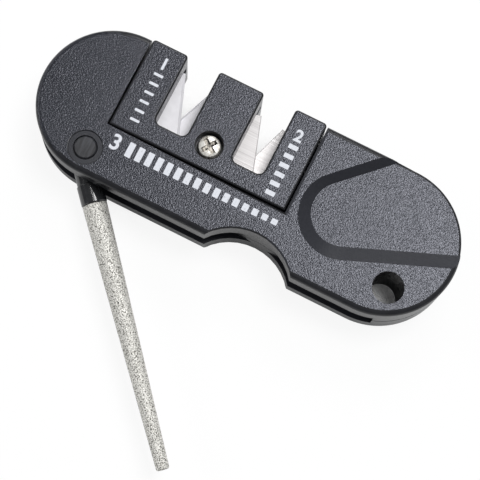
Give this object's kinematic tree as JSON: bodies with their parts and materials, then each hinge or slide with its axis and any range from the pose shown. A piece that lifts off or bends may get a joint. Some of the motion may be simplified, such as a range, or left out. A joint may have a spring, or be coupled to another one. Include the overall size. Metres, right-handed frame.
{
  "type": "pocket knife sharpener",
  "caption": "Pocket knife sharpener: black clamshell body, slotted cartridge with crossed ceramic and carbide plates, and a fold-out tapered diamond rod on a pivot.",
  "frame": {"origin": "on the back face, at mid-length of the body, on the bridge of the back shell below the cartridge", "axes": "+X along the body towards the lanyard hole, +Y towards the blade slots, +Z out of the front face"},
  "size_m": [0.09, 0.075, 0.015],
  "materials": {
    "body_plastic": "spark-eroded texture with polished edges",
    "hub_plastic": "glossy",
    "nickel": "bright nickel plate",
    "black_steel": "blackened",
    "ceramic": "matt white sintered",
    "carbide": "fine ground",
    "diamond": "diamond grit in nickel plate"
  },
  "bodies": {
    "body": {"front_shell": "body_plastic", "back_shell": "body_plastic", "cartridge_front": "body_plastic", "cartridge_back": "body_plastic", "cartridge_screw": "nickel", "cartridge_nut": "nickel", "pivot_pin": "black_steel", "ceramic_left": "ceramic", "ceramic_right": "ceramic", "carbide_left": "carbide", "carbide_right": "carbide"},
    "rod": {"rod_hub": "hub_plastic", "diamond_rod": "diamond"}
  },
  "joints": [
    {"name": "rod_pivot", "type": "hinge", "parent": "body", "child": "rod", "pos_m": [-0.0305, -0.0029, 0.0075], "axis": [0, 0, 1], "range_deg": [-131.6, 45.9]}
  ]
}
